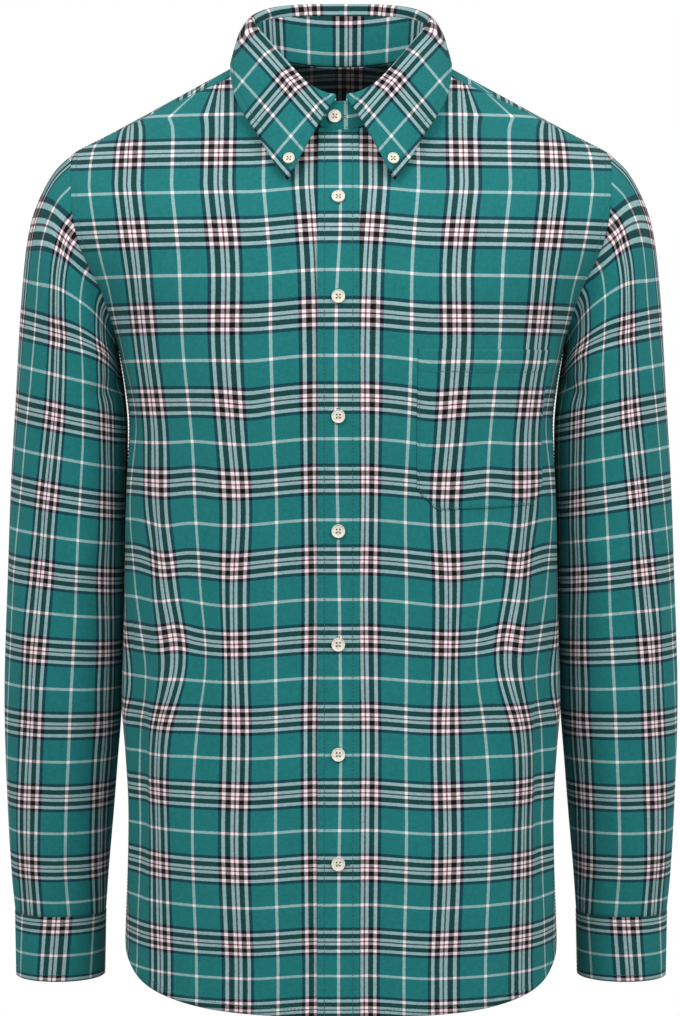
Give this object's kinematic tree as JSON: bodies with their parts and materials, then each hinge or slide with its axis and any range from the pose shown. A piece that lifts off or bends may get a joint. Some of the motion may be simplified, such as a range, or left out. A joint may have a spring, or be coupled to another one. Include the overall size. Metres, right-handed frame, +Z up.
{
  "type": "flannel shirt",
  "caption": "Long-sleeved checked flannel shirt with a button-down collar, chest pocket and shirt-tail hem, buttoned up and hollow as worn.",
  "frame": {"origin": "centre of the neck opening, level with the points where the shoulders meet the collar", "axes": "+Z up, -Y towards the front, +X towards the wearer's left"},
  "size_m": [0.5764, 0.2636, 0.8497],
  "materials": {
    "flannel": "brushed cotton flannel, teal with a navy, pale grey-green and dark red check",
    "button": "cream four-hole shirt buttons, satin"
  },
  "bodies": {
    "root": {"front_left": "flannel", "front_right": "flannel", "back": "flannel", "yoke": "flannel", "placket": "flannel", "pocket": "flannel", "sleeve_left": "flannel", "sleeve_right": "flannel", "cuff_left": "flannel", "cuff_right": "flannel", "sleeve_placket_left": "flannel", "sleeve_placket_right": "flannel", "collar_stand": "flannel", "collar_leaf": "flannel", "button_front_1": "button", "button_front_2": "button", "button_front_3": "button", "button_front_4": "button", "button_front_5": "button", "button_front_6": "button", "button_front_7": "button", "button_collar": "button", "button_point_left": "button", "button_point_right": "button", "button_cuff_left": "button", "button_cuff_right": "button"}
  },
  "joints": []
}
